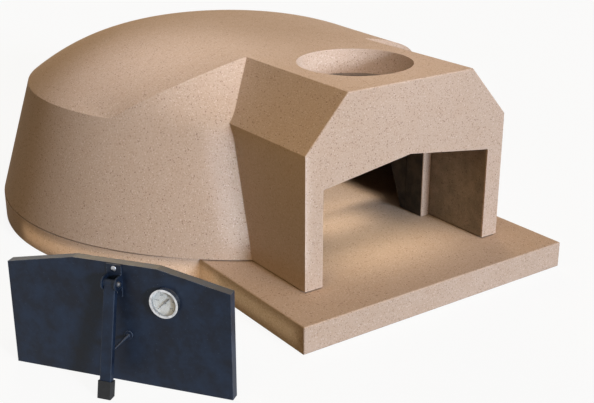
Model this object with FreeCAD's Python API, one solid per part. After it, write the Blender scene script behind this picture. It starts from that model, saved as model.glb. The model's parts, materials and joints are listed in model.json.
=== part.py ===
import FreeCAD, Part
import math
import os

# Wood-fired oven of fireclay castings with a lift-off steel door.
# The origin is on the dome's axis, on the underside of the hearth. +Z is up and the mouth faces -Y.
# All sizes are in millimetres and degrees.

# Hearth
hearth_thickness = 58.0
base_radius = 572.0
slab_width = 700.0
slab_projection = 116.0
slab_edge_radius = 3.0

# Dome, with heights above the hearth
shoulder_radius = 490.0
shoulder_height = 272.0
crown_height = 397.0
crown_flat_radius = 60.0
crown_fullness = 3.0
crown_sections = 10
dome_wall = 60.0

# Mortar bed under dome and hood
bed_thickness = 3.0
bed_recess = 4.0

# Mouth hood, with heights above the hearth and setbacks from its front face
mouth_reach = 721.0
hood_width = 530.0
hood_top_width = 328.0
knee_height = 286.0
hood_wall = 43.0
hood_front_wall = 45.0
hood_roof = 60.0
hood_edge_radius = 3.0
mouth_side_height = 210.0
mouth_peak_height = 242.0
flue_radius = 125.0
flue_setback = 189.0
roof_tongue_width = 290.0

# Neck that fairs the dome into the hood, with setbacks from the hood's front face
neck_foot_setback = 191.0
neck_knee_setback = 264.0
neck_top_setback = 359.0
neck_angle = 28.0
neck_bend = 24.0
neck_sections = 12
neck_overrun = 0.1
hood_lap = 14.0
crease_fullness = 1.4
shoulder_lap = 0.1

# Doorway inside the hood
door_recess = 176.0
jamb_step = 24.0
jamb_depth = 60.0
doorway_side_height = 188.0
doorway_height = 214.0
doorway_flat_width = 150.0
lintel_face = 58.0

# Door
door_clearance = 7.0
door_side_height = 203.0
door_height = 230.0
door_flat_width = 161.0
door_sheet = 3.0
door_depth = 18.0
back_sheet = 2.0
door_stand_x = -669.0
door_stand_y = -720.0
door_turn = -54.0

# Handle leg and its bracket
leg_width = 22.0
leg_depth = 12.0
leg_wall = 2.0
leg_reach = 60.0
eye_radius = 7.0
pin_radius = 3.0
pin_drop = 31.0
pin_standoff = 16.0
pin_head_radius = 5.0
pin_head = 2.5
bracket_sheet = 3.0
bracket_height = 60.0
ear_height = 24.0
rivet_radius = 2.5
rivet_head_radius = 5.0
rivet_head = 2.0
rivet_inset = 8.0
cap_wall = 2.0
cap_height = 30.0
cap_sole = 6.0
stop_rod_radius = 3.0
stop_height = 95.0
stop_drop = 22.0
stop_side = 20.0
stop_foot_radius = 8.0
stop_foot = 2.0

# Thermometer in the door
dial_from_side = 119.0
dial_drop = 58.0
case_radius = 25.5
case_depth = 9.0
case_wall = 1.2
case_floor = 3.4
bezel_wall = 1.3
bezel_lip = 2.7
bezel_skirt = 5.5
glass_thickness = 1.5
dial_thickness = 0.6
needle_length = 19.0
needle_tail = 9.0
needle_width = 1.6
needle_thickness = 0.6
needle_lift = 1.6
needle_rest = 225.0
hub_radius = 2.4
spindle_radius = 1.0
boss_radius = 5.0
boss_length = 30.0
stem_radius = 3.0
stem_length = 80.0
stem_bore = 2.2
coil_wall = 0.6
coil_length = 34.0
washer_radius = 10.0
washer_thickness = 1.5
nut_flats = 14.0
nut_height = 6.0

# Clearances
running_gap = 0.3
fit_gap = 0.2

# Places worked out from the sizes above
hearth_top = hearth_thickness
mouth_front = -mouth_reach
mouth_width = hood_width - 2 * hood_wall
doorway_width = mouth_width - 2 * jamb_step
door_seat = mouth_front + door_recess
flue_y = mouth_front + flue_setback
seam_foot = mouth_front + neck_foot_setback
seam_knee = mouth_front + neck_knee_setback
seam_top = mouth_front + neck_top_setback
hood_foot_end = seam_foot + hood_lap
hood_knee_end = seam_knee + hood_lap
hood_top_end = seam_top + hood_lap
slab_rear = -math.sqrt(base_radius ** 2 - (slab_width / 2) ** 2)
door_width = mouth_width - 2 * door_clearance
bed_top = hearth_top + bed_thickness
far = 2 * mouth_reach

X_AXIS = FreeCAD.Vector(1, 0, 0)
Y_AXIS = FreeCAD.Vector(0, 1, 0)
Z_AXIS = FreeCAD.Vector(0, 0, 1)


def point(x, y, z):
    return FreeCAD.Vector(x, y, z)


def prism(corners, direction):
    """Solid with a flat outline, pushed along a vector."""
    return Part.Face(Part.makePolygon(corners + corners[:1])).extrude(direction)


def prism_along_y(outline, y_start, y_end):
    """Outline of (x, z) corners pushed along Y."""
    corners = [point(x, y_start, z) for x, z in outline]
    return prism(corners, point(0, y_end - y_start, 0))


def prism_along_x(outline, half_width):
    """Outline of (y, z) corners pushed along X, evenly about the middle."""
    corners = [point(-half_width, y, z) for y, z in outline]
    return prism(corners, point(2 * half_width, 0, 0))


def block(x_range, y_range, z_range):
    size = [high - low for low, high in (x_range, y_range, z_range)]
    return Part.makeBox(size[0], size[1], size[2], point(x_range[0], y_range[0], z_range[0]))


def even_outline(half):
    """Close an outline given by its right half, from the bottom up."""
    return half + [(-x, z) for x, z in reversed(half) if x > 0]


def disc(radius, y_start, y_end, hole=0.0):
    """Round plate or tube about the Y axis."""
    body = Part.makeCylinder(radius, y_end - y_start, point(0, y_start, 0), Y_AXIS)
    if hole > 0:
        body = body.cut(Part.makeCylinder(hole, y_end - y_start, point(0, y_start, 0), Y_AXIS))
    return body


def edges_where(shape, test):
    return [edge for edge in shape.Edges if test(edge.BoundBox)]


# Hearth

def hearth_front_slab():
    """Rectangular slab under the mouth, running back to where its sides meet the round base."""
    front = mouth_front - slab_projection
    half = slab_width / 2
    slab = block((-half, half), (front, slab_rear), (0, hearth_thickness))
    rim = edges_where(slab, lambda box: box.YMax < slab_rear - 1 or box.ZMin > hearth_thickness - 1)
    rim = [edge for edge in rim if edge.BoundBox.YMin < slab_rear - 1]
    return slab.makeFillet(slab_edge_radius, rim)


def hearth_rear(side):
    """Half of the round base behind the slab; side is -1 on the left and 1 on the right."""
    base = Part.makeCylinder(base_radius, hearth_thickness)
    low, high = sorted((0, side * base_radius))
    return base.common(block((low, high), (slab_rear, base_radius), (0, hearth_thickness)))


# Dome and neck

def on_circle(radius, turn, z):
    """Point on a circle about the dome's axis, turned forward from -X."""
    angle = math.radians(turn)
    return point(-radius * math.cos(angle), -radius * math.sin(angle), z)


def across(p):
    return point(-p.x, p.y, p.z)


def straight_edge(start, end):
    return Part.makeLine(start, end)


def arc_edge(start, middle, end):
    return Part.Arc(start, middle, end).toShape()


def wall_radius(height):
    """Radius of the coned wall at a height above the hearth, carried on past the shoulder for the neck."""
    return base_radius - (base_radius - shoulder_radius) * height / shoulder_height


def hood_side(height):
    """Where the neck meets the left side of the hood, with the bend at the knee eased."""
    knee = point(-hood_width / 2, seam_knee, 0)
    below = (knee - point(-hood_width / 2, seam_foot, 0)) * (1 / knee_height)
    above = (point(-hood_top_width / 2, seam_top, 0) - knee) * (1 / (crown_height - knee_height))
    past_knee = height - knee_height
    if abs(past_knee) < neck_bend:
        bent = (past_knee + neck_bend) ** 2 / (4 * neck_bend)
    else:
        bent = max(past_knee, 0)
    return knee + below * past_knee + (above - below) * bent + point(0, 0, hearth_top + height)


def neck_point(height, share):
    """Point on the level arc that leaves the wall smoothly (share 0) and meets the hood (share 1)."""
    angle = math.radians(neck_angle)
    start = on_circle(wall_radius(height), neck_angle, hearth_top + height)
    heading = point(math.sin(angle), -math.cos(angle), 0)
    chord = hood_side(height) - start
    half_turn = math.atan2(heading.cross(chord).z, heading.dot(chord))
    centre = start + Z_AXIS.cross(heading) * (chord.Length / (2 * math.sin(half_turn)))
    turn = FreeCAD.Rotation(Z_AXIS, math.degrees(2 * half_turn * share))
    return centre + turn.multVec(start - centre)


def wall_section(height):
    """Level outline of wall and neck, carried on a little way into the hood."""
    z = hearth_top + height
    start = neck_point(height, 0)
    middle = neck_point(height, (1 + neck_overrun) / 2)
    inside = neck_point(height, 1 + neck_overrun)
    front = point(inside.x, (mouth_front + seam_foot) / 2, z)
    return Part.Wire([
        straight_edge(across(front), front),
        straight_edge(front, inside),
        arc_edge(inside, middle, start),
        arc_edge(start, point(0, wall_radius(height), z), across(start)),
        arc_edge(across(start), across(middle), across(inside)),
        straight_edge(across(inside), across(front)),
    ])


def crown_ring(step):
    """Radius and height of a level ring of the crown; step 0 is the shoulder."""
    inward = step * abs(step) / crown_sections ** 2
    radius = shoulder_radius + (crown_flat_radius - shoulder_radius) * inward
    full_drop = 1 - (crown_flat_radius / shoulder_radius) ** crown_fullness
    share = (1 - (radius / shoulder_radius) ** crown_fullness) / full_drop
    return radius, shoulder_height + share * (crown_height - shoulder_height)


def tangent_turn(step):
    """Turn at which a ring of the crown leaves its circle and runs straight to the crease."""
    if step < 0:
        return 2 * neck_angle - tangent_turn(-step)
    radius, height = crown_ring(step)
    share = (height - shoulder_height) / (crown_height - shoulder_height)
    crease = neck_point(height, 1 - (1 - share) ** (1 / crease_fullness))
    reach = math.hypot(crease.x, crease.y)
    return math.degrees(math.atan2(-crease.y, -crease.x) - math.acos(min(1.0, radius / reach)))


def cap_section(step):
    """Level section through the crown, run straight out past the crease."""
    radius, height = crown_ring(step)
    centre = point(0, 0, hearth_top + height)
    tangent = on_circle(radius, tangent_turn(step), centre.z)
    ahead = tangent + Z_AXIS.cross(tangent - centre).normalize() * mouth_reach
    return Part.Wire([
        straight_edge(across(ahead), ahead),
        straight_edge(ahead, tangent),
        arc_edge(tangent, point(0, radius, centre.z), across(tangent)),
        straight_edge(across(tangent), across(ahead)),
    ])


def dome_outside():
    """Coned wall and neck in one sweep, cut by the crown; the crease is where the two meet."""
    spacing = knee_height / neck_sections
    sections = math.ceil(crown_height / spacing) + 2
    wall = Part.makeLoft([wall_section(spacing * step) for step in range(sections)], True, False)
    cap = Part.makeLoft([cap_section(step) for step in range(-1, crown_sections + 1)], True, False)
    below = block((-far, far), (-far, far), (hearth_top, hearth_top + shoulder_height - shoulder_lap))
    return wall.common(below).fuse(wall.common(cap.cut(below))).removeSplitter()


def chamber():
    """Cooking chamber: a coned wall under a low round vault."""
    foot_radius = base_radius - dome_wall
    spring_radius = shoulder_radius - dome_wall
    spring = hearth_top + shoulder_height - dome_wall
    top = hearth_top + crown_height - dome_wall
    vault_radius = (spring_radius ** 2 + (top - spring) ** 2) / (2 * (top - spring))
    half_angle = math.asin(spring_radius / vault_radius) / 2
    haunch = point(
        vault_radius * math.sin(half_angle), 0, top - vault_radius * (1 - math.cos(half_angle)))
    profile = Part.Wire([
        straight_edge(point(0, 0, hearth_top), point(foot_radius, 0, hearth_top)),
        straight_edge(point(foot_radius, 0, hearth_top), point(spring_radius, 0, spring)),
        arc_edge(point(spring_radius, 0, spring), haunch, point(0, 0, top)),
        straight_edge(point(0, 0, top), point(0, 0, hearth_top)),
    ])
    return Part.Face(profile).revolve(point(0, 0, 0), Z_AXIS, 360)


def doorway_passage():
    """Way from the hood into the chamber, shaped like the door but smaller all round."""
    outline = even_outline([
        (doorway_width / 2, hearth_top),
        (doorway_width / 2, hearth_top + doorway_side_height),
        (doorway_flat_width / 2, hearth_top + doorway_height),
    ])
    return prism_along_y(outline, door_seat, 0)


def roof_tongue():
    """Part of the hood's roof that laps back into the neck behind the flue."""
    half = roof_tongue_width / 2
    roof_top = hearth_top + crown_height
    return block((-half, half), (flue_y, hood_top_end), (roof_top - hood_roof, roof_top))


def doorway_jamb(side):
    """Upright that the door closes against."""
    low, high = sorted((side * doorway_width / 2, side * mouth_width / 2))
    return block((low, high), (door_seat, door_seat + jamb_depth),
                 (hearth_top, hearth_top + doorway_side_height))


def bed_layer():
    """Level that the mortar bed takes up, under everything that stands on it."""
    return block((-far, far), (-far, far), (hearth_top, bed_top))


def mortar_bed():
    """Thin bed that dome and hood stand on, set back from their faces."""
    centre = point(0, 0, hearth_top)
    ring = Part.makeCylinder(base_radius - bed_recess, bed_thickness, centre)
    ring = ring.cut(Part.makeCylinder(base_radius - dome_wall + bed_recess, bed_thickness, centre))
    clear = mouth_width / 2 + bed_recess
    ring = ring.cut(block((-clear, clear), (-far, 0), (hearth_top, bed_top)))
    strip_end = -math.sqrt((base_radius - dome_wall / 2) ** 2 - (hood_width / 2) ** 2)
    for side in (-1, 1):
        x_range = sorted((side * clear, side * (hood_width / 2 - bed_recess)))
        strip = block(x_range, (mouth_front + bed_recess, strip_end), (hearth_top, bed_top))
        ring = ring.fuse(strip)
    return ring.removeSplitter()


def dome_quarters():
    """Four dome castings that meet on the middle planes."""
    shell = dome_outside().cut(chamber())
    jambs = [doorway_jamb(-1), doorway_jamb(1)]
    for hollow in [hood_block(), doorway_passage(), roof_tongue(), bed_layer()] + jambs:
        shell = shell.cut(hollow)
    quarters = {}
    for end, y_range in (("front", (-far, 0)), ("rear", (0, far))):
        for side, x_range in (("left", (-far, 0)), ("right", (0, far))):
            quarters["dome_%s_%s" % (end, side)] = shell.common(block(x_range, y_range, (0, far)))
    return quarters


# Mouth hood and doorway

def hood_outline(inset=0.0, roof=0.0):
    """Right half of the hood's cross-section, drawn in by a wall and lowered by a roof."""
    half = hood_width / 2
    top_half = hood_top_width / 2
    slope = (half - top_half) / (crown_height - knee_height)
    sideways = inset * math.sqrt(1 + slope ** 2)
    knee = knee_height + (inset - sideways) / slope
    top = crown_height - roof
    top_x = half - sideways - slope * (top - knee_height)
    return [(half - inset, hearth_top), (half - inset, hearth_top + knee), (top_x, hearth_top + top)]


def hood_hollow():
    """Space inside the hood, from its front wall back through the neck's face."""
    outline = even_outline(hood_outline(hood_wall, hood_roof))
    return prism_along_y(outline, mouth_front + hood_front_wall, hood_top_end)


def ahead_of_neck():
    """Everything in front of the slanted end of the hood, which laps into the neck."""
    return prism_along_x([
        (mouth_front, hearth_top),
        (hood_foot_end, hearth_top),
        (hood_knee_end, hearth_top + knee_height),
        (hood_top_end, hearth_top + crown_height),
        (mouth_front, hearth_top + crown_height),
    ], hood_width)


def hood_block():
    """Outer shape of the hood with sharp edges, which the neck runs into."""
    return prism_along_y(even_outline(hood_outline()), mouth_front, hood_top_end).common(ahead_of_neck())


def mouth_hood():
    """Hollow casting with the gabled mouth in front and the flue through its roof."""
    top = hearth_top + crown_height
    outer = prism_along_y(even_outline(hood_outline()), mouth_front, hood_top_end)
    rounded = edges_where(outer, lambda box: box.ZMin > hearth_top + 1 and box.YMin < mouth_front + 1)
    outer = outer.makeFillet(hood_edge_radius, rounded)
    hood = outer.common(ahead_of_neck()).fuse(roof_tongue())
    mouth = even_outline([
        (mouth_width / 2, hearth_top),
        (mouth_width / 2, hearth_top + mouth_side_height),
        (0, hearth_top + mouth_peak_height),
    ])
    hood = hood.cut(hood_hollow())
    hood = hood.cut(prism_along_y(mouth, mouth_front, mouth_front + hood_front_wall))
    flue = Part.makeCylinder(flue_radius, hood_roof, point(0, flue_y, top - hood_roof))
    return hood.cut(flue).cut(bed_layer()).removeSplitter()


def doorway_lintel():
    """Bar over the doorway whose face slants back to lead smoke up to the flue."""
    low = hearth_top + doorway_side_height
    knee = hearth_top + knee_height
    roof = hearth_top + crown_height - hood_roof
    low_end = hood_foot_end + (hood_knee_end - hood_foot_end) * doorway_side_height / knee_height
    rise = (roof - knee) / (crown_height - knee_height)
    roof_end = hood_knee_end + (hood_top_end - hood_knee_end) * rise
    profile = [
        (door_seat, low),
        (low_end, low),
        (hood_knee_end, knee),
        (roof_end, roof),
        (door_seat, low + lintel_face),
    ]
    bar = prism_along_x(profile, mouth_width / 2)
    return bar.common(hood_hollow()).cut(doorway_passage())


# Door, built standing on the floor with its front face on the plane y = 0

def door_outline(inset=0.0):
    """Right half of the door's outline, drawn in evenly by a sheet's thickness."""
    half = door_width / 2
    flat = door_flat_width / 2
    slope = math.atan2(door_height - door_side_height, half - flat)
    side_top = door_side_height - inset * (1 / math.cos(slope) - math.tan(slope))
    flat_x = flat - inset * math.tan(slope / 2)
    return [(half - inset, inset), (half - inset, side_top), (flat_x, door_height - inset)]


def dial_place(shape):
    return shape.translated(point(door_width / 2 - dial_from_side, 0, door_height - dial_drop))


def rivet_heights():
    middle = door_height - pin_drop
    reach = bracket_height / 2 - rivet_inset
    return [middle - reach, middle + reach]


def boss_hole(y_start, y_end):
    return dial_place(disc(boss_radius + running_gap, y_start, y_end))


def door_panel():
    """Front sheet with its rim folded back all round."""
    tray = prism_along_y(even_outline(door_outline()), 0, door_depth)
    tray = tray.cut(prism_along_y(even_outline(door_outline(door_sheet)), door_sheet, door_depth))
    tray = tray.cut(boss_hole(0, door_sheet))
    for height in rivet_heights():
        tray = tray.cut(disc(rivet_radius + fit_gap, 0, door_sheet).translated(point(0, 0, height)))
    return tray


def door_insulation():
    """Board that fills the door, with pockets over the rivets' back heads."""
    back = door_depth - back_sheet
    board = prism_along_y(even_outline(door_outline(door_sheet)), door_sheet, back)
    board = board.cut(boss_hole(door_sheet, back))
    pocket_end = door_sheet + rivet_head + running_gap
    for height in rivet_heights():
        pocket = disc(rivet_head_radius + running_gap, door_sheet, pocket_end)
        board = board.cut(pocket.translated(point(0, 0, height)))
    return board


def door_back_sheet():
    """Sheet let into the rim behind the board."""
    start = door_depth - back_sheet
    sheet = prism_along_y(even_outline(door_outline(door_sheet)), start, door_depth)
    return sheet.cut(boss_hole(start, door_depth))


def handle_bracket():
    """Folded bracket: a back plate riveted to the door and two ears that hold the pin."""
    gap = leg_width + 2 * running_gap
    half = gap / 2 + bracket_sheet
    middle = door_height - pin_drop
    plate = block((-half, half), (-bracket_sheet, 0),
                  (middle - bracket_height / 2, middle + bracket_height / 2))
    bracket = plate
    for side in (-1, 1):
        low, high = sorted((side * gap / 2, side * half))
        ear = block((low, high), (-pin_standoff, 0),
                    (middle - ear_height / 2, middle + ear_height / 2))
        tip = Part.makeCylinder(ear_height / 2, bracket_sheet, point(low, -pin_standoff, middle), X_AXIS)
        bracket = bracket.fuse(ear).fuse(tip)
    pin_hole = Part.makeCylinder(
        pin_radius + fit_gap, 2 * half, point(-half, -pin_standoff, middle), X_AXIS)
    bracket = bracket.cut(pin_hole)
    for height in rivet_heights():
        hole = disc(rivet_radius + fit_gap, -bracket_sheet, 0).translated(point(0, 0, height))
        bracket = bracket.cut(hole)
    return bracket.removeSplitter()


def bracket_rivets():
    """Rivets through bracket and sheet, with a head on each side."""
    rivets = []
    for height in rivet_heights():
        shank = disc(rivet_radius, -bracket_sheet, door_sheet)
        front = disc(rivet_head_radius, -bracket_sheet - rivet_head, -bracket_sheet)
        back = disc(rivet_head_radius, door_sheet, door_sheet + rivet_head)
        rivet = shank.fuse(front).fuse(back)
        rivets.append(rivet.translated(point(0, 0, height)))
    return Part.makeCompound(rivets)


def pin_place(shape):
    return shape.translated(point(0, -pin_standoff, door_height - pin_drop))


def handle_pin():
    """Pin with a head on the left and room for its clip on the right."""
    half = leg_width / 2 + running_gap + bracket_sheet
    tail = pin_head + washer_thickness
    pin = Part.makeCylinder(pin_radius, 2 * half + tail, point(-half, 0, 0), X_AXIS)
    head = Part.makeCylinder(pin_head_radius, pin_head, point(-half - pin_head, 0, 0), X_AXIS)
    return pin_place(pin.fuse(head))


def handle_pin_clip():
    """Push-on ring that keeps the pin in the bracket."""
    start = leg_width / 2 + running_gap + bracket_sheet
    ring = Part.makeCylinder(pin_head_radius, washer_thickness, point(start, 0, 0), X_AXIS)
    bore = Part.makeCylinder(pin_radius + fit_gap / 2, washer_thickness, point(start, 0, 0), X_AXIS)
    return pin_place(ring.cut(bore))


def leg_lean():
    """Angle of the leg from upright when its foot is on the floor."""
    return math.degrees(math.atan2(leg_reach - pin_standoff, door_height - pin_drop))


def leg_place(shape):
    """Lean a shape that hangs straight down from the pin, and bring it to the door."""
    shape = shape.copy()
    shape.rotate(point(0, 0, 0), X_AXIS, -leg_lean())
    return pin_place(shape)


def leg_length():
    return math.hypot(leg_reach - pin_standoff, door_height - pin_drop)


def handle_leg():
    """Flat tube with a rounded eye at the top, open at the foot."""
    end = -(leg_length() - cap_sole - leg_depth / 2)
    tube = block((-leg_width / 2, leg_width / 2), (-leg_depth / 2, leg_depth / 2), (end, 0))
    core = block((-leg_width / 2 + leg_wall, leg_width / 2 - leg_wall),
                 (-leg_depth / 2 + leg_wall, leg_depth / 2 - leg_wall),
                 (end, -2 * eye_radius))
    long_edges = edges_where(tube, lambda box: box.ZLength > eye_radius)
    tube = tube.makeFillet(leg_wall, long_edges).cut(core)
    eye = Part.makeCylinder(eye_radius, leg_width, point(-leg_width / 2, 0, 0), X_AXIS)
    hole = Part.makeCylinder(
        pin_radius + running_gap, leg_width, point(-leg_width / 2, 0, 0), X_AXIS)
    return leg_place(tube.fuse(eye).cut(hole))


def handle_foot_cap():
    """Rubber cap over the end of the leg, cut flat where it stands on the floor."""
    half_x = leg_width / 2 + fit_gap
    half_y = leg_depth / 2 + fit_gap
    end = -(leg_length() - cap_sole - leg_depth / 2)
    low = -leg_length() - leg_depth
    top = -leg_length() + cap_height
    cap = block((-half_x - cap_wall, half_x + cap_wall), (-half_y - cap_wall, half_y + cap_wall), (low, top))
    long_edges = edges_where(cap, lambda box: box.ZLength > cap_height / 2)
    cap = cap.makeFillet(cap_wall, long_edges)
    cap = leg_place(cap.cut(block((-half_x, half_x), (-half_y, half_y), (end, top))))
    return cap.common(block((-far, far), (-far, far), (0, far)))


def handle_stop():
    """Slanted rod on the door that the leg leans on."""
    start = point(stop_side, 0, stop_height)
    leg_y = -pin_standoff - (door_height - pin_drop - stop_height + stop_drop) * math.tan(
        math.radians(leg_lean()))
    end = point(0, leg_y, stop_height - stop_drop)
    rod = Part.makeCylinder(stop_rod_radius, start.distanceToPoint(end), start, end - start)
    behind = block((-far, far), (leg_depth / 2 + running_gap, far), (-far, far))
    rod = rod.common(leg_place(behind)).common(block((-far, far), (-far, -stop_foot), (-far, far)))
    foot = disc(stop_foot_radius, -stop_foot, 0).translated(start)
    return rod.fuse(foot)


# Thermometer, built about the Y axis with the door's front face at y = 0

def thermometer_case():
    cup = disc(case_radius, -case_depth, 0)
    cup = cup.cut(disc(case_radius - case_wall, -case_depth, -case_floor))
    return dial_place(cup.cut(disc(spindle_radius + running_gap, -case_floor, 0)))


def thermometer_glass():
    return dial_place(disc(case_radius, -case_depth - glass_thickness, -case_depth))


def thermometer_bezel():
    """Ring pushed over the case, with a lip in front of the glass."""
    inside = case_radius + fit_gap
    front = -case_depth - glass_thickness - bezel_wall
    ring = disc(inside + bezel_wall, front, front + bezel_skirt + bezel_wall)
    ring = ring.cut(disc(inside, front + bezel_wall, front + bezel_skirt + bezel_wall))
    return dial_place(ring.cut(disc(case_radius - bezel_lip, front, front + bezel_wall)))


def thermometer_dial():
    edge = case_radius - case_wall - fit_gap
    return dial_place(disc(edge, -case_floor - dial_thickness, -case_floor, spindle_radius + running_gap))


def needle_back():
    return -case_floor - dial_thickness - needle_lift


def thermometer_needle():
    """Tapered pointer with a hub and a wide tail that balances it."""
    back = needle_back()
    half = needle_width / 2
    outline = [(half, -needle_tail), (half, 0), (half / 4, needle_length)]
    outline = outline + [(-x, z) for x, z in reversed(outline)]
    pointer = prism_along_y(outline, back - needle_thickness, back)
    hub = disc(hub_radius, back - needle_thickness, back)
    pointer_moment = needle_length ** 2 * needle_width / 4
    strip_moment = needle_width * needle_tail ** 2 / 2
    shared_moment = needle_width * hub_radius * (needle_tail - hub_radius / 2)
    tail_half = (pointer_moment - strip_moment + shared_moment) / (4 * hub_radius * needle_tail)
    tail = prism_along_y(even_outline([
        (tail_half, -needle_tail - hub_radius), (tail_half, -needle_tail + hub_radius),
    ]), back - needle_thickness, back)
    needle = pointer.fuse(hub).fuse(tail).cut(disc(spindle_radius, back - needle_thickness, back))
    needle.rotate(point(0, 0, 0), Y_AXIS, needle_rest)
    return dial_place(needle)


def needle_spindle():
    """Shaft from the coil's far end, through the dial, to the needle."""
    return dial_place(disc(spindle_radius, needle_back() - needle_thickness, boss_length + coil_length))


def thermometer_stem():
    """Threaded boss and probe tube behind the door, bored for the coil."""
    stem = disc(boss_radius, 0, boss_length).fuse(disc(stem_radius, boss_length, stem_length))
    return dial_place(stem.cut(disc(stem_bore, 0, stem_length - stem_radius)))


def bimetal_coil():
    """Outer shape of the coil that turns the spindle."""
    outside = stem_bore - fit_gap
    coil = disc(outside, boss_length, boss_length + coil_length, outside - coil_wall)
    return dial_place(coil)


def thermometer_washer():
    start = door_depth
    return dial_place(disc(washer_radius, start, start + washer_thickness, boss_radius + fit_gap))


def thermometer_nut():
    start = door_depth + washer_thickness
    corner = nut_flats / math.sqrt(3)
    turns = [math.radians(60 * step) for step in range(6)]
    outline = [(corner * math.cos(turn), corner * math.sin(turn)) for turn in turns]
    nut = prism_along_y(outline, start, start + nut_height)
    return dial_place(nut.cut(disc(boss_radius + fit_gap / 2, start, start + nut_height)))


def stand_door(shape):
    """Turn a door piece and set it down where the door stands."""
    shape = shape.copy()
    shape.rotate(point(0, 0, 0), Z_AXIS, door_turn)
    shape.translate(point(door_stand_x, door_stand_y, 0))
    return shape


oven = {
    "hearth_front_slab": hearth_front_slab(),
    "hearth_rear_left": hearth_rear(-1),
    "hearth_rear_right": hearth_rear(1),
    "mortar_bed": mortar_bed(),
    "mouth_hood": mouth_hood(),
    "doorway_jamb_left": doorway_jamb(-1),
    "doorway_jamb_right": doorway_jamb(1),
    "doorway_lintel": doorway_lintel(),
}
oven.update(dome_quarters())

door = {
    "door_panel": door_panel(),
    "door_insulation": door_insulation(),
    "door_back_sheet": door_back_sheet(),
    "handle_bracket": handle_bracket(),
    "bracket_rivets": bracket_rivets(),
    "handle_pin": handle_pin(),
    "handle_pin_clip": handle_pin_clip(),
    "handle_stop": handle_stop(),
    "handle_leg": handle_leg(),
    "handle_foot_cap": handle_foot_cap(),
    "thermometer_case": thermometer_case(),
    "thermometer_bezel": thermometer_bezel(),
    "thermometer_dial": thermometer_dial(),
    "thermometer_glass": thermometer_glass(),
    "thermometer_needle": thermometer_needle(),
    "needle_spindle": needle_spindle(),
    "thermometer_stem": thermometer_stem(),
    "thermometer_washer": thermometer_washer(),
    "thermometer_nut": thermometer_nut(),
    "bimetal_coil": bimetal_coil(),
}

pieces = dict(oven)
pieces.update({name: stand_door(shape) for name, shape in door.items()})

os.makedirs("parts", exist_ok=True)
for name, shape in pieces.items():
    shape.exportStep("parts/%s.step" % name)
    print("%-22s solids %d valid %s volume %.0f" % (name, len(shape.Solids), shape.isValid(), shape.Volume))
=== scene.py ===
import json
import math

import bpy
from mathutils import Matrix, Vector


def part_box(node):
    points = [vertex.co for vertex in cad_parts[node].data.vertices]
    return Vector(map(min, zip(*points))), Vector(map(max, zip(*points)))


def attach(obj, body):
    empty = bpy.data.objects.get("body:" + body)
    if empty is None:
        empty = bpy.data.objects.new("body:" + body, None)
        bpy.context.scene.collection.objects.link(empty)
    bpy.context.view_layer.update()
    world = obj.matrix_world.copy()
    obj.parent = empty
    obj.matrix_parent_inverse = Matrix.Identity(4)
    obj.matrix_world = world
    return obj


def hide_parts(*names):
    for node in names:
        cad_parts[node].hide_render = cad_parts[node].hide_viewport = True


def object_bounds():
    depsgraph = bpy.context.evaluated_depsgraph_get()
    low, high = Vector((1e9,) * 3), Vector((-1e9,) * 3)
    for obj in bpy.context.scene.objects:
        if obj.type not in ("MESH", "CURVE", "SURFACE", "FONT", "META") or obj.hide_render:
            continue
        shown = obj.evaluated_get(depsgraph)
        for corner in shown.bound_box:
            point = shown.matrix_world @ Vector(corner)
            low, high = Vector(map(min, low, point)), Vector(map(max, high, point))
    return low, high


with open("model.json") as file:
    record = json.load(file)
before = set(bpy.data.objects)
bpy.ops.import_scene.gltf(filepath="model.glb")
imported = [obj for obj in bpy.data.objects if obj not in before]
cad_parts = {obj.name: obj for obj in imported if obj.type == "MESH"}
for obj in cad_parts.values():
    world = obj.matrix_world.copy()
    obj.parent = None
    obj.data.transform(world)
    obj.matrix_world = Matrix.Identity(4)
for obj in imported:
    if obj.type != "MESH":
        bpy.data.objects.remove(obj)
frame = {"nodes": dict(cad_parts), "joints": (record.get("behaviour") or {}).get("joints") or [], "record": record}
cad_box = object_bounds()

# Looks of a wood-fired oven of fireclay castings and its lift-off steel door.
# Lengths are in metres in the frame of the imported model: +Z is up and the mouth faces -Y.

# Camera
CAMERA_PLACE = Vector((-1.3551, -2.2336, 0.9672))
CAMERA_TARGET = Vector((-0.0871, -0.4420, 0.1279))
CAMERA_LENS_MM = 63.05
CAMERA_SENSOR_MM = 36.0

# Dome, for telling its inside, painted with shade, from its outside
HEARTH_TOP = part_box("hearth_rear_left")[1].z
BASE_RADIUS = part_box("hearth_rear_right")[1].x
CROWN_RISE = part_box("dome_rear_left")[1].z - HEARTH_TOP
CROWN_POWER = 3.0
SHOULDER_RADIUS = 0.490
SHOULDER_RISE = 0.272
HALF_WALL = 0.030

# Doorway, whose passage is painted with shade from just behind its front to the dome's axis
DOORWAY_SIDE_MARGIN = 0.030
DOORWAY_FRONT_MARGIN = 0.003
DOORWAY_HALF_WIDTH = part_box("doorway_jamb_right")[0].x + DOORWAY_SIDE_MARGIN
DOORWAY_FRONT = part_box("doorway_jamb_right")[0].y + DOORWAY_FRONT_MARGIN
DOORWAY_BACK = 0.0
DOORWAY_RISE = 0.216

# Hood, for telling its inside, painted with shade, from its outside
MOUTH_HALF_WIDTH = 0.2235
MOUTH_FRONT_MARGIN = 0.004
MOUTH_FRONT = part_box("mouth_hood")[0].y + MOUTH_FRONT_MARGIN
ROOF_UNDERSIDE = 0.40
SLOPE_LEAN = 1.11
SLOPE_UNDERSIDE = 0.59

# Thermometer dial
SCALE_START = 225.0
SCALE_SWEEP = 270.0
SCALE_TOP = 500
SCALE_STEP = 100
MINOR_PER_STEP = 5
MARK_THICKNESS = 0.00008
MARK_OUTER_RADIUS = 0.0218
MAJOR_LENGTH = 0.0038
MAJOR_WIDTH = 0.0008
MINOR_LENGTH = 0.0022
MINOR_WIDTH = 0.0004
NUMBER_RADIUS = 0.0146
NUMBER_HEIGHT = 0.0042

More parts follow.
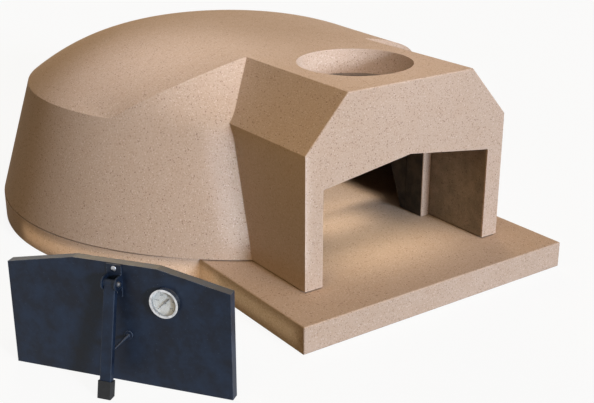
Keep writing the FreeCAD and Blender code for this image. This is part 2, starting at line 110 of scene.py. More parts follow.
# Rivets and thread
RIVET_COUNT = 2
RIVET_HEAD_RADIUS = 0.005
RIVET_HEAD_RISE = 0.002
RIVET_SHANK_RADIUS = 0.0025
RIVET_SIDES = 24
RIVET_RINGS = 16
THREAD_PITCH = 0.001
THREAD_RISE = 0.0003
THREAD_POINTS_PER_TURN = 40
THREAD_SIDES = 4
BOSS_SHARE = 0.9

# Worn edges of the paint, clay edges lightened by wear and by a painted highlight, and softened edges
CLAY_EDGE = 0.0045
PAINT_EDGE = 0.0016
EDGE_SAMPLES = 6
EDGE_AGREEMENT = 0.86
FACE_AGREEMENT = 0.99
WELD_DISTANCE = 0.00002
FLAT_ANGLE = math.radians(1)
SHARP_ANGLE = math.radians(40)
SOFT_EDGE_STEPS = 2
SOFT_EDGE_RADII = {
    "door_panel": 0.0010, "door_back_sheet": 0.0005, "handle_bracket": 0.0006,
    "thermometer_nut": 0.0005, "doorway_jamb_left": 0.0025, "doorway_jamb_right": 0.0025,
}

# Floor and room, as linear colours
FLOOR_REACH = 20.0
FLOOR_DROP = 0.0003
FLOOR_GLOW_SHARE = 0.90
FLOOR_LIT = (0.88, 0.94, 1.0, 1.0)
FLOOR_DIM = (0.30, 0.23, 0.14, 1.0)
ROOM_SEEN = (1.0, 1.0, 1.0, 1.0)
ROOM_WARM = (0.12, 0.09, 0.038, 1.0)

NODES = frame["nodes"]
JOINTS = {joint["name"]: joint for joint in frame["joints"]}
DIAL_CENTRE = Vector(JOINTS["needle_turn"]["pos_m"])
DOOR_BACK = Vector(JOINTS["needle_turn"]["axis"]).normalized()
UP = Vector((0.0, 0.0, 1.0))
DOOR_RIGHT = DOOR_BACK.cross(UP)


def plain_colour(red, green, blue):
    """Linear colour of a paint that reads as these 0 to 255 values on a screen."""
    linear = []
    for value in (red, green, blue):
        share = value / 255
        linear.append(share / 12.92 if share <= 0.04045 else ((share + 0.055) / 1.055) ** 2.4)
    return (*linear, 1.0)


# Colours of the oven
CLAY_BODY = plain_colour(198, 174, 155)
CLAY_PALE = plain_colour(204, 180, 162)
CLAY_OCHRE = plain_colour(187, 155, 128)
CLAY_SAND = plain_colour(169, 141, 118)
CLAY_GRIT = plain_colour(226, 208, 192)
CLAY_FLECK = plain_colour(146, 114, 88)
CLAY_GROG = plain_colour(112, 80, 58)
# Lighter clay edges: partly wear, partly a painted highlight
CLAY_WEAR_AND_HIGHLIGHT = plain_colour(224, 205, 190)
# Painted shade for the inside of dome and doorway
CHAMBER_SHADE_COLOUR = plain_colour(40, 42, 42)
# Painted shade for the inside of the hood
HOOD_SHADE_COLOUR = plain_colour(62, 68, 66)
MORTAR_DARK = plain_colour(92, 76, 60)
MORTAR_PALE = plain_colour(124, 104, 84)
MORTAR_GRIT = plain_colour(150, 132, 112)

# Colours of the door
PAINT_DARK = plain_colour(9, 17, 31)
PAINT_PALE = plain_colour(27, 41, 61)
PAINT_DUST = plain_colour(92, 100, 112)
PAINT_RUBBED = plain_colour(120, 132, 150)
BARE_STEEL = (176, 178, 182)
BRIGHT_STEEL = (222, 223, 226)
DULL_SHARE = 0.82
RUBBER_BLACK = plain_colour(16, 16, 17)
RUBBER_BLOOM = plain_colour(34, 34, 35)
ENAMEL_WHITE = plain_colour(240, 240, 237)
ENAMEL_YELLOWED = plain_colour(228, 226, 216)
PRINT_BLACK = plain_colour(14, 14, 15)
PRINT_GREY = plain_colour(30, 30, 32)
GLASS_CLEAR = plain_colour(246, 250, 250)
BRASS_GROOVE = plain_colour(150, 120, 66)
BRASS_RIDGE = plain_colour(204, 174, 112)
BOARD_SHADE = plain_colour(206, 200, 186)
BOARD_FIBRE = plain_colour(236, 232, 222)
COIL_LINES_PER_METRE = 1600.0


class Link:
    """An output of a node that can stand in a Python expression."""

    def __init__(self, nodes, socket):
        self.nodes = nodes
        self.socket = socket

    def also(self, output):
        """Another output of the same node."""
        return Link(self.nodes, self.socket.node.outputs[output])

    def sum_of(self, operation, first, second):
        """A Math node on two values."""
        return self.nodes.add("ShaderNodeMath", {"operation": operation}, {0: first, 1: second})

    def __add__(self, other):
        return self.sum_of("ADD", self, other)

    def __radd__(self, other):
        return self.sum_of("ADD", other, self)

    def __sub__(self, other):
        return self.sum_of("SUBTRACT", self, other)

    def __rsub__(self, other):
        return self.sum_of("SUBTRACT", other, self)

    def __mul__(self, other):
        return self.sum_of("MULTIPLY", self, other)

    def __rmul__(self, other):
        return self.sum_of("MULTIPLY", other, self)

    def __gt__(self, other):
        return self.sum_of("GREATER_THAN", self, other)

    def __lt__(self, other):
        return self.sum_of("LESS_THAN", self, other)

    def __pow__(self, other):
        return self.sum_of("POWER", self, other)


class Nodes:
    """A node tree being written."""

    def __init__(self, tree):
        self.tree = tree
        self.tree.nodes.clear()

    def add(self, kind, settings=None, sockets=None, output=0):
        """Add a node: its settings first, then the values or links of its sockets."""
        node = self.tree.nodes.new(kind)
        for name, value in (settings or {}).items():
            setattr(node, name, value)
        for name, value in (sockets or {}).items():
            for part in value if isinstance(value, list) else [value]:
                if isinstance(part, Link):
                    self.tree.links.new(part.socket, node.inputs[name])
                else:
                    node.inputs[name].default_value = part
        return Link(self, node.outputs[output]) if len(node.outputs) else None

    def larger(self, first, second):
        """The larger of two values."""
        return self.add("ShaderNodeMath", {"operation": "MAXIMUM"}, {0: first, 1: second})


class Finish(Nodes):
    """A material being made: its nodes, and the shader that they feed."""

    def __init__(self, name):
        self.material = bpy.data.materials.new(name)
        self.material.use_nodes = True
        super().__init__(self.material.node_tree)
        self.place = self.add("ShaderNodeTexCoord", output="Object")

    def noise(self, scale, detail=2.0, roughness=0.5, place=None):
        """Cloudy noise from 0 to 1, with about this many clouds in a metre."""
        return self.add("ShaderNodeTexNoise", None, {
            "Vector": place or self.place, "Scale": scale, "Detail": detail,
            "Roughness": roughness})

    def stretched(self, along, amount):
        """Object coordinates drawn out along an axis, for brushed or fibrous marks."""
        turn = Vector((1.0, 0.0, 0.0)).rotation_difference(along).inverted().to_euler()
        turned = self.add("ShaderNodeMapping", None, {"Vector": self.place, "Rotation": turn})
        return self.add("ShaderNodeMapping", None, {
            "Vector": turned, "Scale": (1.0 / amount, 1.0, 1.0)})

    def specks(self, scale, size, chance):
        """Round grains: 1 inside the share of cells that have one, 0 elsewhere."""
        cell = self.add("ShaderNodeTexVoronoi", None, {"Vector": self.place, "Scale": scale})
        draw = self.add("ShaderNodeSeparateColor", None, {0: cell.also("Color")})
        reach = size * (0.6 + 0.7 * draw.also("Green"))
        return (draw < chance) * self.between(reach - cell, 0.0, 0.08)

    def between(self, value, low, high):
        """0 below low, 1 above high, and a smooth rise between them."""
        return self.add("ShaderNodeMapRange", {"interpolation_type": "SMOOTHSTEP"}, {
            "Value": value, "From Min": low, "From Max": high})

    def mix(self, share, first, second):
        """Two colours mixed by a share."""
        settings = {"data_type": "RGBA", "blend_type": "MIX"}
        return self.add("ShaderNodeMix", settings, {0: share, 6: first, 7: second}, output=2)

    def along(self, place, axis):
        """How far two vectors agree: the one's reach along the other."""
        return self.add("ShaderNodeVectorMath", {"operation": "DOT_PRODUCT"},
                        {0: place, 1: axis}, output="Value")

    def edges(self, radius):
        """1 along a casting's or a sheet's own edges, 0 on its faces."""
        rounded = self.add("ShaderNodeBevel", {"samples": EDGE_SAMPLES}, {"Radius": radius})
        facing = self.add("ShaderNodeNewGeometry", output="Normal")
        return 1 - self.between(self.along(rounded, facing), EDGE_AGREEMENT, FACE_AGREEMENT)

    def bump(self, value, depth, strength):
        """A normal from a height, for what is too fine to model."""
        return self.add("ShaderNodeBump", None, {
            "Height": value, "Distance": depth, "Strength": strength})

    def surface(self, **sockets):
        """Finish the material with one Principled shader."""
        named = {name.replace("_", " "): value for name, value in sockets.items()}
        shader = self.add("ShaderNodeBsdfPrincipled", None, named)
        self.add("ShaderNodeOutputMaterial", None, {"Surface": shader})
        return self.material


# Finishes of the oven

def chamber_shade_mask(clay):
    """Mask of the painted shade: 1 on the inside of dome and doorway, where the fire burns, and 0 on the outside.
    """
    spread = clay.add("ShaderNodeSeparateXYZ", None, {0: clay.place}, output="X")
    depth = spread.also("Y")
    rise = spread.also("Z") - HEARTH_TOP
    radius = (spread * spread + depth * depth) ** 0.5
    lean = (BASE_RADIUS - SHOULDER_RADIUS) / SHOULDER_RISE
    inside_wall = (BASE_RADIUS - HALF_WALL - rise * lean) > radius
    fall = (radius * (1 / SHOULDER_RADIUS)) ** CROWN_POWER
    crown = CROWN_RISE - (CROWN_RISE - SHOULDER_RISE) * fall
    chamber = inside_wall * (crown - HALF_WALL > rise)
    across = clay.add("ShaderNodeMath", {"operation": "ABSOLUTE"}, {0: spread})
    behind_front = (depth > DOORWAY_FRONT) * (depth < DOORWAY_BACK)
    passage = (across < DOORWAY_HALF_WIDTH) * behind_front * (rise < DOORWAY_RISE)
    return clay.larger(chamber, passage)


def hood_shade_mask(clay):
    """Mask of the painted shade: 1 on the inside of the hood, which the smoke passes on its way to the flue."""
    spread = clay.add("ShaderNodeSeparateXYZ", None, {0: clay.place}, output="X")
    across = clay.add("ShaderNodeMath", {"operation": "ABSOLUTE"}, {0: spread})
    height = spread.also("Z")
    under_slope = height + SLOPE_LEAN * across < SLOPE_UNDERSIDE
    under_roof = (height < ROOF_UNDERSIDE) * under_slope
    return (across < MOUTH_HALF_WIDTH) * (spread.also("Y") > MOUTH_FRONT) * under_roof


def fireclay(name, edge_radius=None, shade_chamber=False, shade_hood=False):
    """Pressed fireclay: a sandy body with brown grog, pale grit and open pores; on some castings, edges lightened
    by wear and by a painted highlight, and painted shade on the inside of dome, doorway and hood.
    """
    clay = Finish(name)
    cloud = clay.noise(scale=2.6, detail=3.0)
    blotch = clay.noise(scale=34.0, detail=3.0, roughness=0.6)
    sand = clay.noise(scale=330.0, detail=3.0, roughness=0.7)
    grog = clay.specks(scale=235.0, size=0.34, chance=0.15)
    fleck = clay.specks(scale=300.0, size=0.38, chance=0.32)
    grit = clay.specks(scale=280.0, size=0.36, chance=0.30)
    tone = clay.mix(clay.between(cloud, 0.3, 0.7), CLAY_BODY, CLAY_PALE)
    tone = clay.mix(clay.between(blotch, 0.35, 0.75) * 0.20, tone, CLAY_OCHRE)
    tone = clay.mix(clay.between(sand, 0.30, 0.70) * 0.46, tone, CLAY_SAND)
    tone = clay.mix(grit * 0.44, tone, CLAY_GRIT)
    tone = clay.mix(fleck * 0.44, tone, CLAY_FLECK)
    tone = clay.mix(grog * 0.56, tone, CLAY_GROG)
    if edge_radius:
        # Edges lightened partly by wear and partly by a painted highlight
        wear_and_highlight = clay.edges(edge_radius) * clay.between(sand, 0.25, 0.6)
        tone = clay.mix(wear_and_highlight * 0.35, tone, CLAY_WEAR_AND_HIGHLIGHT)
    if shade_chamber:
        # Painted shade darkens the inside of dome and doorway
        chamber_shade = chamber_shade_mask(clay) * (0.90 + 0.08 * clay.between(blotch, 0.3, 0.7))
        tone = clay.mix(chamber_shade, tone, CHAMBER_SHADE_COLOUR)
    if shade_hood:
        # Painted shade darkens the inside of the hood
        stain_and_shade = hood_shade_mask(clay) * (0.50 + 0.15 * clay.between(blotch, 0.3, 0.7))
        tone = clay.mix(stain_and_shade, tone, HOOD_SHADE_COLOUR)
    pores = 0.55 * sand + 0.5 * grit - 0.9 * grog - 0.4 * fleck
    return clay.surface(Base_Color=tone, Roughness=0.82 + 0.14 * sand, Specular_IOR_Level=0.3,
                        Normal=clay.bump(pores, depth=0.0005, strength=0.5))


def bed_mortar():
    """Fire cement in the joint under dome and hood."""
    bed = Finish("bed_mortar")
    sand = bed.noise(scale=420.0, detail=3.0, roughness=0.7)
    grit = bed.specks(scale=300.0, size=0.32, chance=0.3)
    tone = bed.mix(bed.between(sand, 0.3, 0.7), MORTAR_DARK, MORTAR_PALE)
    tone = bed.mix(grit * 0.5, tone, MORTAR_GRIT)
    return bed.surface(Base_Color=tone, Roughness=0.95,
                       Normal=bed.bump(sand + grit, depth=0.0006, strength=0.7))


# Finishes of the door

def door_paint():
    """Satin heat-proof paint, a little mottled, rubbed along the sheet's edges."""
    paint = Finish("door_paint")
    mottle = paint.noise(scale=26.0, detail=5.0, roughness=0.65)
    peel = paint.noise(scale=900.0)
    dust = paint.specks(scale=420.0, size=0.22, chance=0.06)
    scuff = paint.noise(scale=60.0, detail=3.0)
    tone = paint.mix(paint.between(mottle, 0.30, 0.72), PAINT_DARK, PAINT_PALE)
    tone = paint.mix(dust * 0.5, tone, PAINT_DUST)
    rubbed = paint.edges(PAINT_EDGE) * paint.between(scuff, 0.35, 0.65)
    tone = paint.mix(rubbed * 0.7, tone, PAINT_RUBBED)
    return paint.surface(Base_Color=tone, Roughness=0.36 + 0.2 * mottle, Specular_IOR_Level=0.28,
                         Normal=paint.bump(peel, depth=0.00015, strength=0.35))


def steel(name, colour, smooth, brushed):
    """Bare or bright steel with fine lines along the way it was turned or drawn."""
    metal = Finish(name)
    lines = metal.noise(scale=1400.0, roughness=0.6, place=metal.stretched(DOOR_RIGHT, brushed))
    stain_and_shade = metal.noise(scale=130.0, detail=3.0)
    dull = plain_colour(*[DULL_SHARE * value for value in colour])
    tone = metal.mix(metal.between(stain_and_shade, 0.35, 0.75), plain_colour(*colour), dull)
    rough = smooth + 0.16 * lines + 0.08 * stain_and_shade
    return metal.surface(Base_Color=tone, Metallic=1.0, Roughness=rough,
                         Normal=metal.bump(lines, depth=0.00006, strength=0.3))


def foot_rubber():
    """Matt black rubber with a dusty bloom."""
    rubber = Finish("foot_rubber")
    bloom = rubber.noise(scale=90.0, detail=3.0)
    grain = rubber.noise(scale=1500.0)
    tone = rubber.mix(rubber.between(bloom, 0.35, 0.75), RUBBER_BLACK, RUBBER_BLOOM)
    return rubber.surface(Base_Color=tone, Roughness=0.66 + 0.2 * bloom,
                          Normal=rubber.bump(grain, depth=0.0001, strength=0.4))


def dial_white():
    """Matt enamel of the dial, a little yellowed in patches."""
    enamel = Finish("dial_white")
    age = enamel.noise(scale=120.0, detail=3.0)
    grain = enamel.noise(scale=2600.0)
    tone = enamel.mix(enamel.between(age, 0.35, 0.75), ENAMEL_WHITE, ENAMEL_YELLOWED)
    return enamel.surface(Base_Color=tone, Roughness=0.5 + 0.15 * age,
                          Normal=enamel.bump(grain, depth=0.00003, strength=0.3))


def needle_black():
    """Matt black of the needle and the dial's print."""
    black = Finish("needle_black")
    grain = black.noise(scale=2200.0)
    tone = black.mix(black.between(grain, 0.3, 0.7), PRINT_BLACK, PRINT_GREY)
    return black.surface(Base_Color=tone, Roughness=0.48 + 0.2 * grain)


def dial_glass():
    """Clear flat glass that is smeared here and there."""
    glass = Finish("dial_glass")
    smear = glass.between(glass.noise(scale=70.0, detail=3.0), 0.45, 0.75)
    return glass.surface(Base_Color=GLASS_CLEAR, Roughness=0.03 + 0.12 * smear,
                         Alpha=0.10 + 0.06 * smear)


def bimetal_strip():
    """Brass-coloured strip, with the turns of its coil as lines round it."""
    strip = Finish("bimetal_strip")
    lines = strip.along(strip.place, DOOR_BACK) * COIL_LINES_PER_METRE
    turns = strip.add("ShaderNodeMath", {"operation": "PINGPONG"}, {0: lines, 1: 1.0})
    tone = strip.mix(turns, BRASS_GROOVE, BRASS_RIDGE)
    return strip.surface(Base_Color=tone, Metallic=1.0, Roughness=0.3 + 0.2 * turns,
                         Normal=strip.bump(turns, depth=0.0003, strength=0.8))


def insulation_board():
    """Pale fibrous board inside the door."""
    board = Finish("insulation_board")
    fibres = board.noise(scale=700.0, detail=3.0, roughness=0.7,
                         place=board.stretched(DOOR_RIGHT, 9.0))
    tone = board.mix(board.between(fibres, 0.3, 0.7), BOARD_SHADE, BOARD_FIBRE)
    return board.surface(Base_Color=tone, Roughness=0.95,
                         Normal=board.bump(fibres, depth=0.0004, strength=0.7))


FINISHES = {
    "mortar": bed_mortar(),
    "door_paint": door_paint(),
    "insulation_board": insulation_board(),
    "bare_steel": steel("bare_steel", BARE_STEEL, smooth=0.26, brushed=14.0),
    "bright_steel": steel("bright_steel", BRIGHT_STEEL, smooth=0.10, brushed=30.0),
    "foot_rubber": foot_rubber(),
    "dial_white": dial_white(),
    "needle_black": needle_black(),
    "dial_glass": dial_glass(),
    "bimetal": bimetal_strip(),
}
HEARTH_CLAY = fireclay("hearth_fireclay")
DOME_CLAY = fireclay("dome_fireclay", shade_chamber=True)
SLAB_CLAY = fireclay("slab_fireclay", edge_radius=CLAY_EDGE)
HOOD_CLAY = fireclay("hood_fireclay", edge_radius=CLAY_EDGE, shade_hood=True)
JAMB_CLAY = fireclay("jamb_fireclay", edge_radius=CLAY_EDGE, shade_chamber=True)
CASTINGS = {
    "hearth_front_slab": SLAB_CLAY, "mouth_hood": HOOD_CLAY,
    "hearth_rear_left": HEARTH_CLAY, "hearth_rear_right": HEARTH_CLAY,
    "doorway_jamb_left": JAMB_CLAY, "doorway_jamb_right": JAMB_CLAY, "doorway_lintel": JAMB_CLAY,
    "dome_front_left": DOME_CLAY, "dome_front_right": DOME_CLAY,
    "dome_rear_left": DOME_CLAY, "dome_rear_right": DOME_CLAY,
}

for subpart in frame["record"]["subparts"]:
    name = subpart["node"]
    NODES[name].data.materials.clear()
    NODES[name].data.materials.append(CASTINGS.get(name) or FINISHES[subpart["material_slot"]])


# Softened edges of folded sheet, nut and jambs

def soften(name, radius):
    """Round a node's sharp edges."""
    node = NODES[name]
    weld = node.modifiers.new("weld", "WELD")
    weld.merge_threshold = WELD_DISTANCE
    whole = node.modifiers.new("whole_faces", "DECIMATE")
    whole.decimate_type = "DISSOLVE"
    whole.angle_limit = FLAT_ANGLE
    bevel = node.modifiers.new("soften", "BEVEL")
    bevel.width = radius
    bevel.segments = SOFT_EDGE_STEPS
    bevel.limit_method = "ANGLE"
    bevel.angle_limit = SHARP_ANGLE
    bevel.harden_normals = True


for name, radius in SOFT_EDGE_RADII.items():
    soften(name, radius)


# Pieces made by Geometry Nodes

class Grower(Nodes):
    """A Geometry Nodes tree with named inputs for its sizes."""

    KINDS = {int: "NodeSocketInt", float: "NodeSocketFloat",
             bpy.types.Material: "NodeSocketMaterial"}

    def __init__(self, name, sizes):
        tree = bpy.data.node_groups.new(name, "GeometryNodeTree")
        super().__init__(tree)
        tree.interface.new_socket("Geometry", in_out="OUTPUT", socket_type="NodeSocketGeometry")
        self.identifiers = {}
        for size, kind in sizes.items():
            socket = tree.interface.new_socket(size, in_out="INPUT", socket_type=self.KINDS[kind])
            self.identifiers[size] = socket.identifier
        self.given = self.add("NodeGroupInput")

    def size(self, name):
        """One of the tree's inputs."""
        return self.given.also(name)

    def vector(self, x=0.0, y=0.0, z=0.0):
        """A vector from numbers or links."""
        return self.add("ShaderNodeCombineXYZ", None, {0: x, 1: y, 2: z})

    def close(self, geometry):
        """End the tree: make instances real and give them their material."""
        real = self.add("GeometryNodeRealizeInstances", None, {0: geometry})
        painted = self.add("GeometryNodeSetMaterial", None, {
            0: real, "Material": self.size("Material")})
        self.add("NodeGroupOutput", None, {0: painted})

    def grow(self, **values):
        """Plain mesh that the tree makes for these sizes."""
        host = bpy.data.objects.new("host", bpy.data.meshes.new("host"))
        bpy.context.scene.collection.objects.link(host)
        modifier = host.modifiers.new("grow", "NODES")
        modifier.node_group = self.tree
        for name, value in values.items():
            modifier[self.identifiers[name.replace("_", " ")]] = value
        evaluated = host.evaluated_get(bpy.context.evaluated_depsgraph_get())
        mesh = bpy.data.meshes.new_from_object(evaluated)
        bpy.data.objects.remove(host)
        return mesh


def dial_mark_grower():
    """Marks of one kind round the dial, thin bars that stand on its face."""
    grower = Grower("dial_marks", {
        "Count": int, "Outer Radius": float, "Length": float, "Width": float,
        "Thickness": float, "Start": float, "Step": float, "Material": bpy.types.Material})
    size = grower.vector(grower.size("Width"), grower.size("Length"), grower.size("Thickness"))
    bar = grower.add("GeometryNodeMeshCube", None, {"Size": size})
    middle = grower.size("Outer Radius") - grower.size("Length") * 0.5
    lift = grower.vector(y=middle, z=grower.size("Thickness") * 0.5)
    bar = grower.add("GeometryNodeTransform", None, {"Geometry": bar, "Translation": lift})
    index = grower.add("GeometryNodeInputIndex")
    turn = grower.vector(z=0.0 - (grower.size("Start") + grower.size("Step") * index))
    points = grower.add("GeometryNodePoints", None, {"Count": grower.size("Count")})
    bars = grower.add("GeometryNodeInstanceOnPoints", None, {
        "Points": points, "Instance": bar, "Rotation": turn})
    grower.close(bars)
    return grower


def rivet_grower():
    """Rivets in a row: a domed head on each side of the sheets and a shank through them."""
    grower = Grower("bracket_rivets", {
        "Count": int, "Spacing": float, "Head Radius": float, "Head Rise": float,
        "Shank Radius": float, "Grip": float, "Material": bpy.types.Material})
    ball = grower.add("GeometryNodeMeshUVSphere", None, {
        "Segments": RIVET_SIDES, "Rings": RIVET_RINGS, "Radius": 1.0})
    place = grower.add("GeometryNodeInputPosition")
    level = grower.add("ShaderNodeSeparateXYZ", None, {0: place}, output="Z")
    flat = grower.vector(level.also("X"), level.also("Y"), grower.larger(level, 0.0))
    dome = grower.add("GeometryNodeSetPosition", None, {"Geometry": ball, "Position": flat})
    radius = grower.size("Head Radius")
    sizes = grower.vector(radius, radius, grower.size("Head Rise"))
    front = grower.add("GeometryNodeTransform", None, {"Geometry": dome, "Scale": sizes})
    drop = grower.vector(z=0.0 - grower.size("Grip"))
    back = grower.add("GeometryNodeTransform", None, {
        "Geometry": dome, "Scale": sizes, "Rotation": (math.pi, 0.0, 0.0), "Translation": drop})
    shank = grower.add("GeometryNodeMeshCylinder", None, {
        "Vertices": RIVET_SIDES, "Radius": grower.size("Shank Radius"),
        "Depth": grower.size("Grip")})
    half_drop = grower.vector(z=grower.size("Grip") * -0.5)
    shank = grower.add("GeometryNodeTransform", None, {
        "Geometry": shank, "Translation": half_drop})
    rivet = grower.add("GeometryNodeJoinGeometry", None, {"Geometry": [front, back, shank]})
    offset = grower.vector(y=grower.size("Spacing"))
    row = grower.add("GeometryNodeMeshLine", None, {
        "Count": grower.size("Count"), "Offset": offset})
    rivets = grower.add("GeometryNodeInstanceOnPoints", None, {"Points": row, "Instance": rivet})
    grower.close(rivets)
    return grower


def thread_grower():
    """Thread cut round a boss: a small ridge that climbs as a spiral."""
    grower = Grower("boss_thread", {
        "Turns": float, "Radius": float, "Rise": float, "Length": float,
        "Material": bpy.types.Material})
    spiral = grower.add("GeometryNodeCurveSpiral", None, {
        "Resolution": THREAD_POINTS_PER_TURN, "Rotations": grower.size("Turns"),
        "Start Radius": grower.size("Radius"), "End Radius": grower.size("Radius"),
        "Height": grower.size("Length")})
    ridge = grower.add("GeometryNodeCurvePrimitiveCircle", None, {
        "Resolution": THREAD_SIDES, "Radius": grower.size("Rise")})
    thread = grower.add("GeometryNodeCurveToMesh", None, {
        "Curve": spiral, "Profile Curve": ridge, "Fill Caps": True})
    grower.close(thread)
    return grower


def span(name, axis):
    """Lowest and highest reach of a node along an axis."""
    reaches = [vertex.co.dot(axis) for vertex in NODES[name].data.vertices]
    return min(reaches), max(reaches)


def door_place(centre, back):
    """Place on the door whose X is to the right, Y is up and Z is out of the front."""
    turn = Matrix((DOOR_RIGHT, UP, -DOOR_BACK)).transposed().to_4x4()
    centre = centre + DOOR_BACK * (back - centre.dot(DOOR_BACK))
    return Matrix.Translation(centre) @ turn


def add_piece(name, meshes, body, slot):
    """One object from several meshes, riding on a body."""
    joined = bpy.data.meshes.new(name)
    points = []
    faces = []
    for mesh in meshes:
        start = len(points)
        points += [vertex.co[:] for vertex in mesh.vertices]
        faces += [[start + index for index in face.vertices] for face in mesh.polygons]
    joined.from_pydata(points, [], faces)
    joined.materials.append(FINISHES[slot])
    piece = bpy.data.objects.new(name, joined)
    bpy.context.scene.collection.objects.link(piece)
    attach(piece, body)
    return piece


def number_mesh(text, place):
    """A number of the scale, made a mesh before it is put on the dial."""
    curve = bpy.data.curves.new("number", "FONT")
    curve.body = text
    curve.size = NUMBER_HEIGHT
    curve.align_x = "CENTER"
    curve.align_y = "CENTER"
    curve.extrude = MARK_THICKNESS
    curve.resolution_u = 3
    holder = bpy.data.objects.new("number", curve)
    bpy.context.scene.collection.objects.link(holder)
    evaluated = holder.evaluated_get(bpy.context.evaluated_depsgraph_get())
    mesh = bpy.data.meshes.new_from_object(evaluated)
    bpy.data.objects.remove(holder)
    mesh.transform(place)
    return mesh


def dial_print():
    """Scale of the dial: marks and numbers, from 0 to 500 in hundreds."""
    face = door_place(DIAL_CENTRE, span("thermometer_dial", DOOR_BACK)[0])
    grower = dial_mark_grower()
    start = math.radians(SCALE_START)
    sweep = math.radians(SCALE_SWEEP)
    sizes = {"Outer_Radius": MARK_OUTER_RADIUS, "Thickness": MARK_THICKNESS, "Start": start,
             "Material": FINISHES["needle_black"]}
    steps = SCALE_TOP // SCALE_STEP
    minors = steps * MINOR_PER_STEP
    marks = [
        grower.grow(Count=steps + 1, Step=sweep / steps, Length=MAJOR_LENGTH,
                    Width=MAJOR_WIDTH, **sizes),
        grower.grow(Count=minors + 1, Step=sweep / minors, Length=MINOR_LENGTH,
                    Width=MINOR_WIDTH, **sizes),
    ]
    for mesh in marks:
        mesh.transform(face)
    add_piece("dial_marks", marks, "door", "needle_black")
    numbers = []
    for step in range(steps + 1):
        turn = start + sweep * step / steps
        spot = Vector((NUMBER_RADIUS * math.sin(turn), NUMBER_RADIUS * math.cos(turn), 0.0))
        numbers.append(number_mesh(str(SCALE_STEP * step), face @ Matrix.Translation(spot)))
    add_piece("dial_numbers", numbers, "door", "needle_black")


def bracket_rivets():
    """Domed rivets in place of the plain ones."""
    low, high = span("bracket_rivets", DOOR_BACK)
    grip = high - low - 2 * RIVET_HEAD_RISE
    bottom, top = span("bracket_rivets", UP)
    spacing = top - bottom - 2 * RIVET_HEAD_RADIUS
    row = rivet_grower().grow(
        Count=RIVET_COUNT, Spacing=spacing, Head_Radius=RIVET_HEAD_RADIUS,
        Head_Rise=RIVET_HEAD_RISE, Shank_Radius=RIVET_SHANK_RADIUS, Grip=grip,
        Material=FINISHES["bare_steel"])
    right = sum(span("bracket_rivets", DOOR_RIGHT)) / 2
    first = DOOR_RIGHT * right + UP * (bottom + RIVET_HEAD_RADIUS)
    row.transform(door_place(first, low + RIVET_HEAD_RISE))
    piece = add_piece("bracket_rivet_heads", [row], "door", "bare_steel")
    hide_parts("bracket_rivets")
    piece.data.shade_smooth()


def boss_thread():
    """Thread on the end of the thermometer's boss, behind its nut."""
    start = span("thermometer_nut", DOOR_BACK)[1] + THREAD_PITCH / 2
    points = [vertex.co for vertex in NODES["thermometer_stem"].data.vertices]
    radii = [(point - DIAL_CENTRE).cross(DOOR_BACK).length for point in points]
    boss_radius = max(radii)
    boss_end = max(point.dot(DOOR_BACK) for point, radius in zip(points, radii)
                   if radius > BOSS_SHARE * boss_radius)
    length = boss_end - start - THREAD_PITCH / 2
    thread = thread_grower().grow(
        Turns=length / THREAD_PITCH, Radius=boss_radius, Rise=THREAD_RISE, Length=length,
        Material=FINISHES["bare_steel"])
    thread.transform(door_place(DIAL_CENTRE, boss_end - THREAD_PITCH / 2))
    add_piece("thermometer_thread", [thread], "door", "bare_steel")


dial_print()
bracket_rivets()
boss_thread()


# Light, floor and camera

def hang(name, lamp, levels, strength, toward):
    """Put a lamp in the scene, with its colour and strength, facing away from a direction."""
    strongest = max(levels)
    lamp.energy = strength * strongest
    lamp.color = [level / strongest for level in levels]
    holder = bpy.data.objects.new(name, lamp)
    holder.rotation_euler = toward.to_track_quat("Z", "Y").to_euler()
    bpy.context.scene.collection.objects.link(holder)
    return holder


def sun(name, turn, rise, levels, softness):
    """Lamp from a turn and rise; at level 1 a face square to it shows its colour as written."""
    lamp = bpy.data.lights.new(name, "SUN")
    lamp.angle = math.radians(softness)
    turn = math.radians(turn)
    rise = math.radians(rise)
    toward = Vector((math.sin(turn) * math.cos(rise), -math.cos(turn) * math.cos(rise),
                     math.sin(rise)))
    hang(name, lamp, levels, math.pi, toward)


def panel(name, place, target, size, watts, spread):
    """Soft lamp panel close to one part of the oven, out of the camera's sight."""
    lamp = bpy.data.lights.new(name, "AREA")
    lamp.shape = "RECTANGLE"
    lamp.size, lamp.size_y = size
    lamp.spread = math.radians(spread)
    holder = hang(name, lamp, watts, 1.0, Vector(place) - Vector(target))
    holder.location = place
    holder.visible_camera = False


def looked_at(nodes):
    """1 for rays that see a thing directly, mirrored or through glass; 0 for other light."""
    path = nodes.add("ShaderNodeLightPath", output="Is Camera Ray")
    seen = nodes.larger(path, path.also("Is Glossy Ray"))
    return nodes.larger(seen, path.also("Is Transmission Ray"))


def room_light():
    """Even warm light all round, which looks white where it is seen."""
    world = bpy.data.worlds.new("room")
    bpy.context.scene.world = world
    world.use_nodes = True
    room = Nodes(world.node_tree)
    lighting = room.add("ShaderNodeBackground", None, {"Color": ROOM_WARM})
    white = room.add("ShaderNodeBackground", None, {"Color": ROOM_SEEN})
    shown = room.add("ShaderNodeMixShader", None, {0: looked_at(room), 1: lighting, 2: white})
    room.add("ShaderNodeOutputWorld", None, {"Surface": shown})


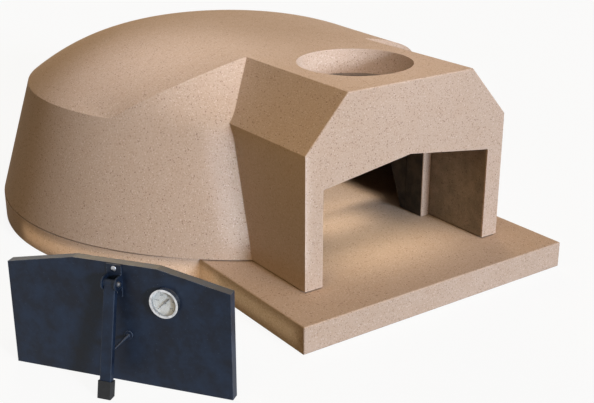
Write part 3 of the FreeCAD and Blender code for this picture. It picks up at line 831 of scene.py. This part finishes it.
def floor():
    """Plain white floor that keeps a soft shadow; to the light on the oven it is a dim one."""
    level = cad_box[0].z - FLOOR_DROP
    mesh = bpy.data.meshes.new("floor")
    corners = [(x * FLOOR_REACH, y * FLOOR_REACH, level)
               for x, y in ((-1, -1), (1, -1), (1, 1), (-1, 1))]
    mesh.from_pydata(corners, [], [(0, 1, 2, 3)])
    plane = bpy.data.objects.new("floor", mesh)
    bpy.context.scene.collection.objects.link(plane)
    white = Finish("floor_white")
    glow = white.add("ShaderNodeEmission", None, {"Strength": 1.0})
    lit = white.add("ShaderNodeBsdfDiffuse", None, {"Color": FLOOR_LIT})
    shown = white.add("ShaderNodeMixShader", None, {0: FLOOR_GLOW_SHARE, 1: lit, 2: glow})
    dim = white.add("ShaderNodeBsdfDiffuse", None, {"Color": FLOOR_DIM})
    both = white.add("ShaderNodeMixShader", None, {0: looked_at(white), 1: dim, 2: shown})
    white.add("ShaderNodeOutputMaterial", None, {"Surface": both})
    mesh.materials.append(white.material)


def camera():
    """Camera at the photograph's viewing angle."""
    lens = bpy.data.cameras.new("camera")
    lens.sensor_fit = "HORIZONTAL"
    lens.sensor_width = CAMERA_SENSOR_MM
    lens.lens = CAMERA_LENS_MM
    place = bpy.data.objects.new("camera", lens)
    place.location = CAMERA_PLACE
    place.rotation_euler = (CAMERA_TARGET - CAMERA_PLACE).to_track_quat("-Z", "Y").to_euler()
    bpy.context.scene.collection.objects.link(place)
    bpy.context.scene.camera = place


# Lamps from afar
sun("mouth_lamp", turn=5.0, rise=11.0, levels=(0.76, 0.90, 1.09), softness=10.0)
sun("high_lamp", turn=12.0, rise=62.0, levels=(0.28, 0.22, 0.17), softness=30.0)
sun("back_lamp", turn=150.0, rise=25.0, levels=(0.31, 0.23, 0.13), softness=30.0)

# Panels on the oven's left side, its base, the slab's side and the seam beside the hood
panel("side_lamp", place=(-0.80, -1.00, 0.82), target=(-0.28, -0.55, 0.15),
      size=(0.35, 0.35), watts=(0.52, 0.36, 0.13), spread=110.0)
panel("base_lamp", place=(-0.755, -0.436, 0.034), target=(-0.495, -0.286, 0.028),
      size=(0.55, 0.03), watts=(0.034, 0.028, 0.020), spread=10.0)
panel("slab_lamp", place=(-0.50, -0.66, 0.036), target=(-0.35, -0.66, 0.030),
      size=(0.30, 0.03), watts=(0.0082, 0.0078, 0.0059), spread=20.0)
panel("seam_lamp", place=(-0.318, -1.30, 0.27), target=(-0.277, -0.49, 0.21),
      size=(0.04, 0.24), watts=(0.024, 0.031, 0.041), spread=6.0)

# Panels above the crown and the hood's roof
panel("crown_lamp", place=(-0.31, -0.20, 1.10), target=(-0.31, -0.20, 0.0),
      size=(0.40, 0.36), watts=(0.195, 0.212, 0.245), spread=36.0)
panel("roof_lamp", place=(0.10, -0.85, 0.95), target=(-0.02, -0.45, 0.45),
      size=(0.40, 0.40), watts=(0.34, 0.34, 0.36), spread=90.0)

# Panels inside flue, hood, doorway and chamber
panel("flue_lamp", place=(-0.02, -0.635, 0.438), target=(-0.02, -0.41, 0.425),
      size=(0.14, 0.03), watts=(0.070, 0.078, 0.090), spread=140.0)
panel("hood_lamp", place=(0.0, -0.625, 0.322), target=(0.0, -0.63, 0.0),
      size=(0.36, 0.09), watts=(0.150, 0.134, 0.100), spread=78.0)
panel("doorway_lamp", place=(0.0, -0.45, 0.268), target=(0.0, -0.45, 0.0),
      size=(0.36, 0.12), watts=(0.145, 0.128, 0.100), spread=50.0)
panel("chamber_lamp", place=(-0.03, -0.15, 0.25), target=(-0.03, -0.15, 0.0),
      size=(0.46, 0.48), watts=(0.50, 0.44, 0.35), spread=20.0)

room_light()
floor()
camera()
bpy.context.scene.view_settings.view_transform = "Standard"
